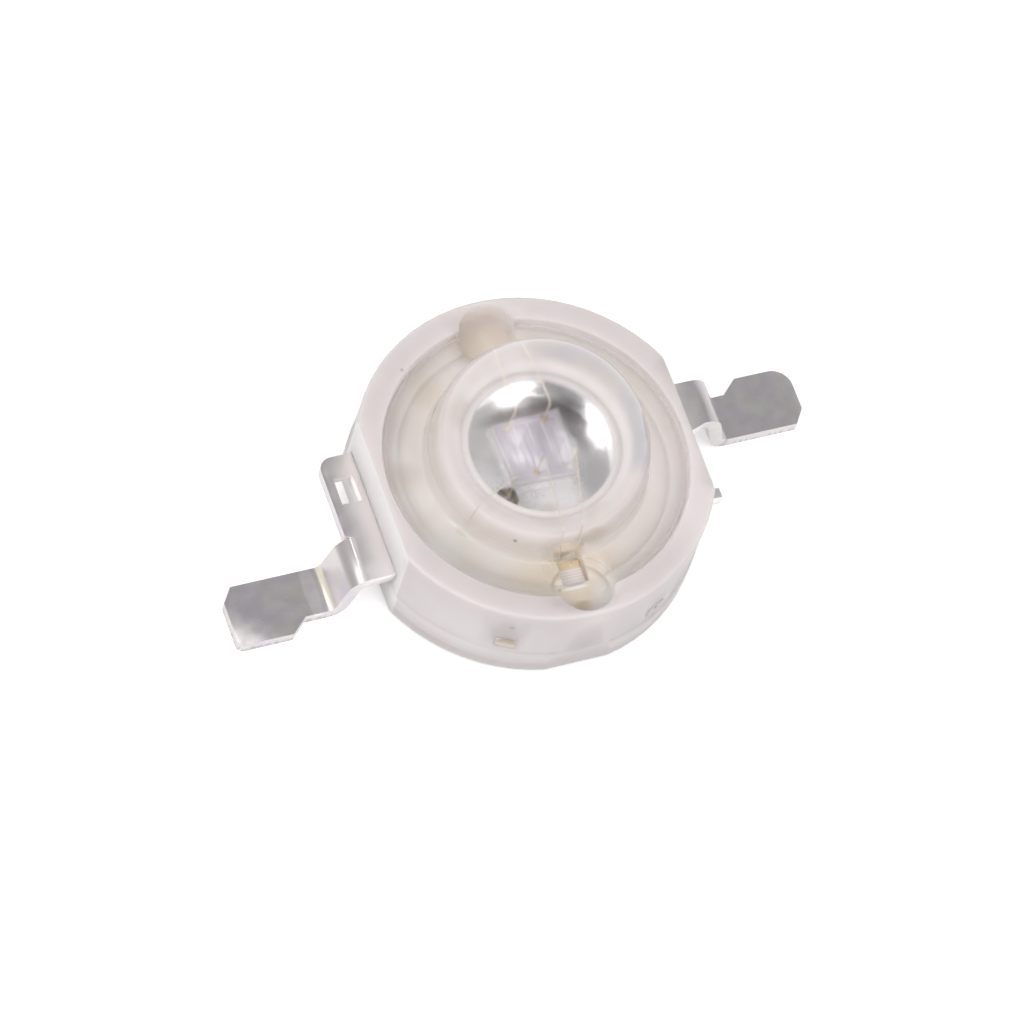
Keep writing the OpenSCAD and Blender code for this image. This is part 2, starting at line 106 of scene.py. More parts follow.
# Sizes of the optics, as in the solids
DOME_R = 2.43
DOME_Z = top("lens") - DOME_R
FOOT_R = 2.51
FLANGE_R = 3.365
RECESS_R = 3.415
FLANGE_TOP = 2.40
FLANGE_FILLET = 0.10
FLANGE_CHAMFER = 0.06
SEAT_IN_R = 3.035
FLOOR_Z = 1.95
COLLAR_TOP_R = 1.70
COLLAR_FOOT_R = 2.18
COLUMN_R = 1.23
RIM_R = 1.11
RIM_CHAMFER = 0.05
CUP_FLOOR_R = 1.095
CUP_CORNER_R = 0.13
PORT_Y = 3.20
PORT_R = 0.68
PORT_FLOOR_Z = 1.84
SLOT_W = 0.62
SLOT_Y = 1.80
SLOT_END_Y = 2.94
POCKET_R = 0.19
POCKET_PLACE = (-1.9941, -1.1054)

# The gel's skin over the flange, how far the clear body sinks into what it rests on, and how its parts meet
GEL_SKIN = 0.01
SINK = 0.012
SLOT_GAP = 0.001
POCKET_LAP = 0.2

# Facets of the clear body, round its axis and along its outline
OPTICS_SEGMENTS = 288
DRUM_SEGMENTS = 96
DOME_STEPS = 72
ROUND_STEPS = 8

# Bond wires: start and end of each, and the shape that they share
WIRE_R = 0.012
WIRE_SIDES = 12
LOOP_Z = 3.0
LOOP_TURN = 1.72
WIRE_BEND_R = 0.12
BALL_SEGMENTS = 20
BALL_STEPS = 12
BALL_R = 0.034
BALL_LIFT = 0.016
BALL_SHAPE = (1, 1, 0.42)
STITCH_R = 0.04
STITCH_LIFT = 0.008
STITCH_SHAPE = (1.5, 1, 0.3)
STITCH_Y = 2.35
WIRES = {
    "wire_p": ((0.37, 0.625, CHIP_BOND_Z), (0.21, STITCH_Y, FRAME_TOP)),
    "wire_p2": ((-0.17, 0.625, CHIP_BOND_Z), (-0.15, STITCH_Y, FRAME_TOP)),
    "wire_n": ((0.0, -0.145, CHIP_BOND_Z), (-0.23, -STITCH_Y, FRAME_TOP)),
    "wire_n2": ((0.50, -0.145, CHIP_BOND_Z), (0.11, -STITCH_Y, FRAME_TOP)),
    "wire_protection": ((-0.56, -0.43, GUARD_BOND_Z), (-2.0816, -1.1538, FRAME_TOP)),
}

# Shades of the wires' balls on the chip and of the pads under them, with their soft edges
PAD_R = 0.05
PAD_EDGE = 0.02
PAD_STRENGTH = 0.9
BALL_EDGE = 0.01
PAD_SHADES = {
    "wire_p": (0.42, 0.32, 0.23, 1),
    "wire_p2": (0.76, 0.66, 0.52, 1),
    "wire_n": (0.62, 0.51, 0.38, 1),
    "wire_n2": (0.78, 0.71, 0.68, 1),
}

# Edges of the CAD pieces: how far they are rounded, and the angles in degrees that count as edges
LEAD_EDGE = 0.025
SLUG_EDGE = 0.02
WELD = 0.0005
ROUNDED_ANGLE = 35
SHARP_ANGLE = 28

# Milky plastic: its colours where bare, under the resin and on the collar; painted light on its lip and its
# flats, and a painted reflection in its crescent
MILKY = ((0.745, 0.690, 0.690, 1), (0.778, 0.724, 0.724, 1))
MILKY_SUNK = ((0.760, 0.697, 0.662, 1), (0.802, 0.746, 0.714, 1))
MILKY_COLLAR = (0.795, 0.725, 0.712, 1)
LIP_PAINTED_LIGHT = (0.93, 0.87, 0.86, 1)
CRESCENT_PAINTED_REFLECTION = (0.575, 0.54, 0.575, 1)
FLAT_PAINTED_LIGHT = (0.93, 0.88, 0.87, 1)
STAIN = (0.74, 0.67, 0.60, 1)
STAIN_SHARE = 0.10
STAIN_SUNK_GAIN = 4.0

# Where those colours change, as spans of a distance; the crescent's ends are cosines from its middle angle
SUNK_R = (3.36, 3.44)
COLLAR_FROM_Z = (2.45, 2.70)
COLLAR_TO_R = (1.8, 1.9)
LIP_TO_R = (1.27, 1.42)
CRESCENT_FROM_R = (1.33, 1.45)
CRESCENT_ANGLE = 25
CRESCENT_ENDS = (0.55, 0.80)
FLAT_FROM_X = (3.58, 3.595)
DENSE_LIP_TO_R = (1.32, 1.55)

# Marks on the plastic, with painted light and painted highlights among them: place, radius, soft edge,
# squash, strength and colour
GOLDEN = (0.86, 0.76, 0.62, 1)
BROWN = (0.58, 0.46, 0.34, 1)
PALE = (0.95, 0.93, 0.90, 1)
SPECK = (0.16, 0.11, 0.08, 1)
PLASTIC_MARKS_AND_PAINTED_LIGHT = [
    ((-0.05, -2.75, 1.9), 0.30, 1.10, (1, 1, 0.5), 0.35, (0.76, 0.68, 0.56, 1)),
    ((0.00, 3.20, 1.9), 0.35, 0.60, (1, 1, 0.5), 0.80, (0.68, 0.58, 0.48, 1)),
    ((0.00, -2.40, 1.5), 0.45, 0.40, (0.9, 0.6, 1), 0.55, GOLDEN),
    # Painted light in a tan tint on the slot's inner end wall, which lies in shade
    ((0.00, -1.80, 1.90), 0.30, 0.12, (1, 1, 0.6), 1.00, (0.95, 0.80, 0.64, 1)),
    # Painted highlight: a white glint low on that wall
    ((0.06, -1.80, 1.60), 0.06, 0.04, (0.30, 1, 1), 1.00, (1.0, 0.99, 0.97, 1)),
    # Painted light on the front port's far wall, which lies in shade
    ((0.55, -3.30, 2.10), 0.15, 0.30, (1, 1, 0.5), 0.60, PALE),
    # Painted light on the ring's front right, lightening its shading
    ((3.40, -1.60, 2.50), 0.60, 1.40, (1, 0.8, 0.3), 0.60, (0.86, 0.80, 0.80, 1)),
    ((-0.10, -3.35, 1.9), 0.15, 0.25, (1, 1, 0.5), 0.55, GOLDEN),
    ((-0.05, -2.93, 1.84), 0.05, 0.04, (0.3, 1, 1), 0.65, (0.42, 0.38, 0.42, 1)),
    # Painted highlights: two white glints on the front port's floor
    ((-0.33, -2.84, 1.84), 0.05, 0.03, (0.4, 1, 1), 1.00, PALE),
    ((-0.08, -3.04, 1.84), 0.025, 0.03, (0.14, 1, 1), 1.00, PALE),
    ((-0.06, -3.50, 1.84), 0.07, 0.10, (0.6, 1, 1), 0.80, BROWN),
    ((-0.43, -3.02, 1.84), 0.02, 0.03, EVEN, 0.80, BROWN),
    # Painted light in the deep pocket, which lies in shade, in a warm pale tint
    ((-1.99, -1.10, 1.70), 0.25, 0.10, (1, 1, 0.5), 1.00, (0.97, 0.92, 0.87, 1)),
    # Painted light on the recess floor at the front left, where the ring and flange shade it
    ((-2.45, -1.30, 1.97), 0.25, 0.45, (1, 1, 0.5), 0.60, PALE),
    # Painted highlights: two small glints there
    ((-2.44, -1.22, 1.95), 0.04, 0.06, EVEN, 1.00, PALE),
    ((-2.32, -1.48, 1.95), 0.04, 0.06, EVEN, 1.00, PALE),
    ((-2.83, -0.19, 1.95), 0.20, 0.40, (1, 1, 0.5), 0.35, PALE),
    ((-2.81, 0.90, 1.95), 0.10, 0.30, (1, 1, 0.5), 0.40, PALE),
    ((-0.90, 0.90, 2.72), 0.10, 0.30, EVEN, 0.50, (0.60, 0.53, 0.46, 1)),
    ((-1.70, 2.25, 1.95), 0.15, 0.45, (1, 1, 0.5), 0.50, (0.70, 0.60, 0.48, 1)),
    ((0.49, -1.77, 2.50), 0.08, 0.25, (0.6, 1, 1), 0.60, (0.58, 0.50, 0.42, 1)),
    ((-0.80, -2.50, 1.95), 0.25, 0.50, (0.8, 1, 0.5), 0.45, (0.74, 0.65, 0.50, 1)),
    ((0.75, -2.50, 1.95), 0.15, 0.40, (1, 1, 0.5), 0.35, (0.74, 0.65, 0.50, 1)),
    ((-2.22, 2.73, 2.56), 0.025, 0.030, EVEN, 0.30, SPECK),
    ((0.71, 3.29, 2.56), 0.030, 0.030, EVEN, 0.45, SPECK),
    ((0.26, 3.80, 1.86), 0.035, 0.045, EVEN, 0.50, SPECK),
    ((-0.97, -1.56, 2.50), 0.020, 0.030, EVEN, 0.60, SPECK),
    ((-1.74, -3.60, 1.99), 0.040, 0.040, EVEN, 0.25, SPECK),
]

# Where no light spreads in the plastic, beside metal that is let into it: place, radius and soft edge
TIE_END_X = 1.76
TIE_END_Y = 3.62
TIE_END_Z = 1.28
DENSE = [((*POCKET_PLACE, FRAME_TOP), POCKET_R, 0.02)]
DENSE += [((x, y, TIE_END_Z), 0.30, 0.20) for x in (-TIE_END_X, TIE_END_X) for y in (-TIE_END_Y, TIE_END_Y)]

# Plated leads: their colour, the tints of their clouds and grains, and how dull they are
PLATE = (0.66, 0.635, 0.64, 1)
PLATE_GREENER = (1.00, 1.01, 0.98, 1)
PLATE_PINKER = (0.98, 0.95, 1.01, 1)
PLATE_PEPPER = (0.62, 0.62, 0.62, 1)
PEPPER_SHARE = 0.30
PLATE_DULL = (0.29, 0.37)
SIDE_DULL = 0.08

# Painted shade over the leads' upper bends, in place of their bright reflection, and paler shoulders with a
# painted reflection of the plastic; tilt is 0 on upright faces and 1 on level ones
BEND_PAINTED_SHADE = (0.36, 0.33, 0.33, 1)
BEND_FROM_TILT = (0.30, 0.60)
BEND_TO_TILT = (0.97, 0.995)
BEND_FROM_Z = (1.00, 1.20)
BEND_FROM_X = (4.16, 4.20)
BEND_MIDDLE_X = (-0.1, 0.1)
BEND_STRENGTHS = (0.85, 0.25)
SHOULDER_PAINTED_REFLECTION = (0.96, 0.91, 0.90, 1)
SHOULDER_TO_X = (3.75, 4.55)
SHOULDER_FROM_Z = (0.9, 1.2)

# Cut ends of the tie bars and the stub: where they lie, and their colours
CUT_FROM_R = (3.985, 3.995)
CUT_TO_X = (3.3, 3.4)
STUB_FROM_X = (4.135, 4.145)
STUB_TO_Y = (-1.0, -0.9)
CUT_RISE_Z = (1.18, 1.40)
CUT_TAN = ((0.80, 0.70, 0.58, 1), (0.50, 0.42, 0.34, 1))
CUT_RIM = (0.64, 0.59, 0.58, 1)
CUT_OVAL = ((-1.74, -3.62, 1.28), 0.19, 0.08, (1, 1, 1.2))
CUT_DOT = ((1.76, -3.59, 1.32), 0.035, 0.03)

# Bond fingers under the resin: golden at the bonds, finely striped beyond them, the pale stripes partly
# hatch marks and partly painted glints
COVERED_TO_R = (3.0, 3.1)
COVERED_SHARE = 0.7
STRIPES_FROM_Y = (2.42, 2.50)
STRIPE_PITCH = 0.07
STRIPE_EDGE = (-0.8, 0.8)
HATCH_AND_GLINTS = ((0.84, 0.78, 0.75, 1), (0.98, 0.95, 0.93, 1))
FINGER_GOLD = (0.84, 0.70, 0.48, 1)

# Side faces of sheet, by their tilt, and the torn metal at their foot
SIDE_TO_TILT = (0.25, 0.6)
TORN = (0.42, 0.39, 0.38, 1)
TORN_FROM_SHEAR = (0.50, 0.60)
TORN_TO_Z = (0.06, 0.20)
TORN_SHARE = 0.7
SHEAR_STRETCH = (1, 1, 0.06)

# Painted light at the lower bend of the left lead: a pale painted reflection where the bend starts and a
# yellowish painted shade in its crease, in the same terms as the marks on the plastic
LOWER_BEND_PAINTED_LIGHT = [
    ((-5.20, -0.93, 0.30), 0.12, 0.08, (1, 0.20, 1), 0.60, (0.86, 0.80, 0.83, 1)),
    ((-4.90, -0.93, 0.36), 0.08, 0.06, (1, 0.14, 1), 0.55, (0.78, 0.74, 0.56, 1)),
]

# Slug: its plating, the turning lines in it, and the resin flash on the cup's rim
SLUG = ((0.965, 0.94, 0.95, 1), (0.865, 0.84, 0.85, 1))
SLUG_DULL = (0.17, 0.22)
FOOT_DULL = 0.24
FOOT_DULL_TO_Z = (1.0, 2.0)
CUP_FLOOR_DULL = 0.08
CUP_FLOOR_DULL_TO_R = (0.70, 0.84)
TURNING_PITCH = 0.03
FLASH = (0.80, 0.735, 0.72, 1)
FLASH_DULL = 0.5
FLASH_FROM_R = (1.112, 1.122)
FLASH_FROM_Z = (2.60, 2.65)

# The cup's floor: painted shade and dark painted reflections beside the chip, a pale painted reflection of
# the chip's sides in front of it, a pale resin film at the left and a gold-brown spot; in the same terms
# but for the height
CUP_PAINTED_LIGHT_AND_MARKS = [
    ((0.20, 0.80), 0.06, 0.12, (0.22, 1, 0.5), 0.75, (0.34, 0.31, 0.30, 1)),
    ((0.78, 0.50), 0.08, 0.16, (1, 0.45, 0.5), 0.72, (0.30, 0.28, 0.29, 1)),
    ((0.82, -0.28), 0.14, 0.26, (1, 0.8, 0.5), 0.35, (0.56, 0.56, 0.58, 1)),
    ((0.20, -0.62), 0.14, 0.40, (0.9, 0.9, 1), 0.80, (0.92, 0.88, 0.89, 1)),
    ((-0.80, -0.15), 0.10, 0.40, (1, 0.8, 1), 0.60, (0.88, 0.84, 0.86, 1)),
    ((0.02, -0.72), 0.05, 0.14, EVEN, 0.60, (0.66, 0.58, 0.48, 1)),
]

# Where the metal's mirror is turned off there, under the pale painted reflection in front of the chip and
# under the resin film at the left: place, radius, soft edge, squash and strength
CUP_FILM_AND_PAINTED_WEDGE = [
    ((0.20, -0.62), 0.12, 0.42, (0.9, 0.9, 1), 0.65),
    ((-0.80, -0.15), 0.10, 0.40, (1, 0.8, 1), 0.45),
]

# Shading of the cup as a dish: where it starts, at what share height counts, and its two leans in degrees
DISH_FROM_R = 1.03
DISH_HEIGHT_SHARE = 0.6
DISH_FIRST = 0.10
DISH_FIRST_LEAN = 17
DISH_WHOLE = 0.42
DISH_SECOND_LEAN = 16
DISH_TO_R = (1.110, 1.112)
DISH_FROM_Z = (2.20, 2.25)
DISH_TO_Z = (2.74, 2.75)

# Chip, with paler patches in the same terms, and what lies round it
CHIP = ((0.61, 0.56, 0.62, 1), (0.68, 0.63, 0.685, 1))
# Painted light: the chip's sides are made pale so that the cup's wall mirrors them as a highlight
CHIP_SIDE_PAINTED_LIGHT = (0.93, 0.90, 0.90, 1)
CHIP_PATCHES = [
    ((0.50, 0.14), 0.05, 0.16, (1, 0.35, 1), 0.75, (0.92, 0.87, 0.92, 1)),
    ((-0.12, 0.45), 0.08, 0.22, (1, 0.6, 1), 0.30, (0.92, 0.87, 0.91, 1)),
]
CONTACT = ((0.67, 0.62, 0.68, 1), (0.74, 0.69, 0.75, 1))
ADHESIVE = ((0.70, 0.67, 0.67, 1), (0.84, 0.81, 0.81, 1))
SILICON = ((0.045, 0.035, 0.028, 1), (0.26, 0.20, 0.14, 1))
GOLD = ((0.86, 0.78, 0.68, 1), (0.78, 0.69, 0.57, 1))
GOLD_BALL = (0.50, 0.38, 0.24, 1)
BALL_TO_Z = (2.46, 2.50)
BALL_TO_R = (0.9, 1.0)

# Clear resin: hazy low down and at the back port, clearer in the dome and at the front port
RESIN = (0.995, 0.995, 0.995, 1)
HAZE_Z = (2.45, 2.95)
HAZE = (0.50, 0.13)
BACK_PORT = ((0, PORT_Y, FLANGE_TOP), PORT_R, 0.05)
BACK_PORT_HAZE = 0.2
FRONT_PORT = ((0, -2.75, FLANGE_TOP), 0.60, 0.40)
FRONT_PORT_CLEARING = 0.36


class Look:
    """A node material in the making: each method adds nodes and gives back their output."""

    def __init__(self, name, **values):
        self.material = bpy.data.materials.new(name)
        self.material.use_nodes = True
        self.tree = self.material.node_tree
        self.shader = self.tree.nodes["Principled BSDF"]
        self.place = self.node("ShaderNodeTexCoord").outputs["Object"]
        self.set(**values)

    def node(self, kind, **settings):
        made = self.tree.nodes.new(kind)
        for key, value in settings.items():
            setattr(made, key, value)
        return made

    def feed(self, socket, source):
        if isinstance(source, bpy.types.NodeSocket):
            self.tree.links.new(source, socket)
        else:
            socket.default_value = source

    def set(self, **sources):
        """Gives sockets of the shader a value or another node's output; _ stands for a space."""
        for name, source in sources.items():
            self.feed(self.shader.inputs[name.replace("_", " ")], source)

    def math(self, operation, *values):
        made = self.node("ShaderNodeMath", operation=operation)
        for socket, value in zip(made.inputs, values):
            self.feed(socket, value)
        return made.outputs[0]

    def times(self, first, second):
        return self.math("MULTIPLY", first, second)

    def plus(self, first, second):
        return self.math("ADD", first, second)

    def most(self, first, second):
        return self.math("MAXIMUM", first, second)

    def rest(self, share):
        return self.math("SUBTRACT", 1.0, share)

    def vector(self, operation, *values, output=0):
        made = self.node("ShaderNodeVectorMath", operation=operation)
        for socket, value in zip(made.inputs, values):
            self.feed(socket, value)
        return made.outputs[output]

    def noise(self, size, detail=3.0, stretch=EVEN, shift=0.0):
        """Noise whose lumps measure about size millimetres."""
        mapping = self.node("ShaderNodeMapping")
        mapping.inputs["Location"].default_value = (shift, shift, shift)
        mapping.inputs["Scale"].default_value = stretch
        self.feed(mapping.inputs["Vector"], self.place)
        made = self.node("ShaderNodeTexNoise")
        made.inputs["Scale"].default_value = 1 / (size * MM)
        made.inputs["Detail"].default_value = detail
        self.feed(made.inputs["Vector"], mapping.outputs[0])
        return made.outputs["Fac"]

    def waves(self, distance, pitch):
        """Sine waves of that pitch in millimetres."""
        return self.math("SINE", self.times(distance, 2 * math.pi / (pitch * MM)))

    def range(self, value, low, high, to_low=0.0, to_high=1.0):
        """Passes smoothly from to_low to to_high as the value goes from low to high."""
        made = self.node("ShaderNodeMapRange", interpolation_type="SMOOTHSTEP")
        for key, number in zip(("From Min", "From Max", "To Min", "To Max"), (low, high, to_low, to_high)):
            made.inputs[key].default_value = number
        self.feed(made.inputs["Value"], value)
        return made.outputs[0]

    def clouds(self, size, low, high, **noise):
        """Noise with clear edges: 0 where it is below low, 1 where it is above high."""
        return self.range(self.noise(size, **noise), low, high)

    def over(self, distance, span, to_low, to_high):
        """Passes smoothly from to_low to to_high over a span of the distance, in millimetres."""
        low, high = span
        return self.range(distance, low * MM, high * MM, to_low, to_high)

    def beyond(self, distance, span):
        """1 where the distance is past the span, 0 before it."""
        return self.over(distance, span, 0.0, 1.0)

    def within(self, distance, span):
        """1 where the distance is short of the span, 0 after it."""
        return self.over(distance, span, 1.0, 0.0)

    def mix(self, share, first, second):
        made = self.node("ShaderNodeMix", data_type="RGBA")
        self.feed(made.inputs[0], share)
        self.feed(made.inputs[6], first)
        self.feed(made.inputs[7], second)
        return made.outputs[2]

    def part(self, vector, letter):
        made = self.node("ShaderNodeSeparateXYZ")
        self.feed(made.inputs[0], vector)
        return made.outputs[letter]

    def axis(self, letter):
        return self.part(self.place, letter)

    def off(self, letter):
        """Distance from the middle plane across that axis."""
        return self.math("ABSOLUTE", self.axis(letter))

    def lying(self):
        """1 on level faces, 0 on upright ones."""
        return self.math("ABSOLUTE", self.part(self.surface_normal(), "Z"))

    def surface_normal(self):
        return self.node("ShaderNodeNewGeometry").outputs["Normal"]

    def flat(self):
        """The place with its height taken away."""
        return self.vector("MULTIPLY", self.place, (1, 1, 0))

    def radius(self):
        """Distance from the optical axis."""
        return self.vector("LENGTH", self.flat(), output="Value")

    def toward(self, angle):
        """1 in that direction from the axis, in degrees from +X, falling to -1 on the other side."""
        heading = math.radians(angle)
        unit = self.vector("NORMALIZE", self.flat())
        return self.vector("DOT_PRODUCT", unit, (math.cos(heading), math.sin(heading), 0), output="Value")

    def spot(self, centre, radius, soft, squash=EVEN):
        """1 within radius of centre, falling to 0 over soft; squash scales the distance along each axis."""
        away = self.vector("SUBTRACT", self.place, Vector(centre) * MM)
        distance = self.vector("LENGTH", self.vector("MULTIPLY", away, squash), output="Value")
        return self.within(distance, (radius, radius + soft))

    def marked(self, colour, centre, radius, soft, squash, strength, mark):
        """The colour with a soft mark of another colour laid over it."""
        share = self.times(self.spot(centre, radius, soft, squash), strength)
        return self.mix(share, colour, mark)

    def bump(self, height, depth, under=None):
        """A bump of that depth in millimetres, on top of another normal if one is given."""
        made = self.node("ShaderNodeBump")
        made.inputs["Distance"].default_value = depth * MM
        self.feed(made.inputs["Height"], height)
        if under is not None:
            self.feed(made.inputs["Normal"], under)
        return made.outputs[0]


def tinted(colour, tint):
    """The colour with each channel multiplied."""
    return [channel * share for channel, share in zip(colour, tint)]


def milky_plastic():
    """Cloudy moulding resin: yellower where the clear resin covers it, stained round the fill ports, with
    painted light, painted highlights and a painted reflection in places.
    """
    look = Look("milky_plastic", Roughness=0.42, IOR=1.5, Specular_IOR_Level=0.4,
                Subsurface_Scale=0.3 * MM, Subsurface_Radius=(1.0, 0.88, 0.84))
    cloud = look.clouds(1.8, *NOISE_SPAN, detail=2.0)
    colour = look.mix(cloud, *MILKY)
    sunk = look.within(look.radius(), SUNK_R)
    colour = look.mix(sunk, colour, look.mix(cloud, *MILKY_SUNK))
    collar = look.times(look.beyond(look.axis("Z"), COLLAR_FROM_Z), look.within(look.radius(), COLLAR_TO_R))
    colour = look.mix(collar, colour, MILKY_COLLAR)
    # Painted light: the collar is made paler next to the cup's rim, where the groove shades it
    lip_light = look.times(look.within(look.radius(), LIP_TO_R), collar)
    colour = look.mix(lip_light, colour, LIP_PAINTED_LIGHT)
    # Painted reflection: a dark grey-violet crescent on the far side of the collar, where the dome shows
    # the dim surroundings
    facing = look.range(look.toward(CRESCENT_ANGLE), *CRESCENT_ENDS)
    painted_crescent = look.times(look.times(look.beyond(look.radius(), CRESCENT_FROM_R), facing), collar)
    colour = look.mix(painted_crescent, colour, CRESCENT_PAINTED_REFLECTION)
    # Painted light: the flat sides are made paler, as if more light reached them
    colour = look.mix(look.beyond(look.off("X"), FLAT_FROM_X), colour, FLAT_PAINTED_LIGHT)
    stain = look.times(look.clouds(0.7, 0.48, 0.70, shift=4.0), STAIN_SHARE)
    stain = look.plus(stain, look.times(look.times(stain, sunk), STAIN_SUNK_GAIN))
    colour = look.mix(stain, colour, STAIN)
    # Stains and specks, and painted light and painted highlights, laid on the plastic
    for mark in PLASTIC_MARKS_AND_PAINTED_LIGHT:
        colour = look.marked(colour, *mark)
    look.set(Base_Color=colour)
    dense = look.times(look.within(look.radius(), DENSE_LIP_TO_R), collar)
    for place in DENSE:
        dense = look.most(dense, look.spot(*place))
    look.set(Subsurface_Weight=look.rest(dense))
    grain = look.bump(look.noise(0.10, detail=4.0), depth=0.0012)
    look.set(Normal=look.bump(look.noise(0.9, detail=2.0), depth=0.006, under=grain))
    return look.material


def plated_colour(look, lying, aside):
    """Clouded and grainy plating, with painted shade over the upper bends and a painted pale reflection on
    the shoulders beside the plastic.
    """
    smear = look.clouds(0.5, 0.35, 0.65, detail=4.0)
    plate = look.mix(smear, tinted(PLATE, PLATE_GREENER), tinted(PLATE, PLATE_PINKER))
    pepper = look.times(look.clouds(0.03, 0.52, 0.72, detail=2.0), PEPPER_SHARE)
    plate = look.mix(pepper, plate, tinted(PLATE, PLATE_PEPPER))
    # Painted shade: the upper bends are darkened where they would mirror the bright sky
    bend_shade = look.times(look.range(lying, *BEND_FROM_TILT), look.range(lying, *BEND_TO_TILT, 1.0, 0.0))
    bend_shade = look.times(bend_shade, look.beyond(look.axis("Z"), BEND_FROM_Z))
    bend_shade = look.times(bend_shade, look.beyond(aside, BEND_FROM_X))
    bend_shade = look.times(bend_shade, look.over(look.axis("X"), BEND_MIDDLE_X, *BEND_STRENGTHS))
    plate = look.mix(bend_shade, plate, BEND_PAINTED_SHADE)
    # Painted reflection and painted shade at the lower bend
    for mark in LOWER_BEND_PAINTED_LIGHT:
        plate = look.marked(plate, *mark)
    # Painted reflection: the shoulders are made pinkish pale near the plastic, as if mirroring the
    # housing's wall
    shoulder_reflection = look.times(look.within(aside, SHOULDER_TO_X), look.beyond(look.axis("Z"), SHOULDER_FROM_Z))
    return look.mix(shoulder_reflection, plate, SHOULDER_PAINTED_REFLECTION)


def cut_colour(look):
    """Sheared ends of the tie bars: tan copper in a smeared rim, and one dark dot."""
    tan = look.mix(look.beyond(look.axis("Z"), CUT_RISE_Z), *CUT_TAN)
    smeared = look.mix(look.spot(*CUT_OVAL), CUT_RIM, tan)
    return look.mix(look.spot(*CUT_DOT), smeared, SPECK)


def finger_colour(look):
    """Bond finger: golden at the bonds, with fine pale stripes across its outer end, partly hatch marks and
    partly painted glints.
    """
    # Pale stripes: hatch marks with painted glints
    hatch_and_glints = look.mix(look.range(look.waves(look.axis("Y"), STRIPE_PITCH), *STRIPE_EDGE), *HATCH_AND_GLINTS)
    return look.mix(look.beyond(look.off("Y"), STRIPES_FROM_Y), FINGER_GOLD, hatch_and_glints)


def lead_plate():
    """Plated sheet: satin faces, upright shear marks on the side faces, bare metal at the cut ends."""
    look = Look("lead_plate")
    lying = look.lying()
    aside = look.off("X")
    plate = plated_colour(look, lying, aside)
    cut_end = look.times(look.beyond(look.radius(), CUT_FROM_R), look.within(aside, CUT_TO_X))
    stub_end = look.times(look.beyond(look.axis("X"), STUB_FROM_X), look.within(look.axis("Y"), STUB_TO_Y))
    plate = look.mix(look.most(cut_end, stub_end), plate, cut_colour(look))
    side_face = look.range(lying, *SIDE_TO_TILT, 1.0, 0.0)
    shear = look.noise(0.07, detail=2.0, stretch=SHEAR_STRETCH)
    torn = look.times(look.range(shear, *TORN_FROM_SHEAR), side_face)
    torn = look.times(torn, look.over(look.axis("Z"), TORN_TO_Z, TORN_SHARE, 0.0))
    covered = look.within(look.radius(), COVERED_TO_R)
    look.set(Base_Color=look.mix(covered, look.mix(torn, plate, TORN), finger_colour(look)))
    look.set(Metallic=look.rest(look.most(look.times(covered, COVERED_SHARE), cut_end)))
    fine = look.bump(look.noise(0.022), depth=0.0012)
    marks = look.bump(look.times(shear, side_face), depth=0.006, under=fine)
    look.set(Normal=look.bump(look.noise(0.5, detail=2.0), depth=0.0025, under=marks))
    dull = look.range(look.noise(0.3, detail=4.0), *NOISE_SPAN, *PLATE_DULL)
    look.set(Roughness=look.plus(dull, look.times(side_face, SIDE_DULL)))
    return look.material


def cup_normal(look):
    """Rounds the cup in shading: from the floor's edge up its wall, the surface leans in like a dish."""
    climb = look.plus(look.radius(), look.times(look.axis("Z"), DISH_HEIGHT_SHARE))
    foot = DISH_FROM_R + DISH_HEIGHT_SHARE * CUP_Z
    first = foot + DISH_FIRST
    lean = look.over(climb, (foot, first), 0.0, math.radians(DISH_FIRST_LEAN))
    more = look.over(climb, (first, foot + DISH_WHOLE), 0.0, math.radians(DISH_SECOND_LEAN))
    lean = look.plus(lean, more)
    inward = look.vector("NORMALIZE", look.vector("MULTIPLY", look.place, (-1, -1, 0)))
    side = look.node("ShaderNodeVectorMath", operation="SCALE")
    look.feed(side.inputs[0], inward)
    look.feed(side.inputs["Scale"], look.math("SINE", lean))
    rise = look.node("ShaderNodeCombineXYZ")
    look.feed(rise.inputs["Z"], look.math("COSINE", lean))
    dish = look.vector("ADD", side.outputs[0], rise.outputs[0])
    inside = look.times(look.within(look.radius(), DISH_TO_R), look.beyond(look.axis("Z"), DISH_FROM_Z))
    inside = look.times(inside, look.within(look.axis("Z"), DISH_TO_Z))
    return look.mix(inside, look.surface_normal(), dish)


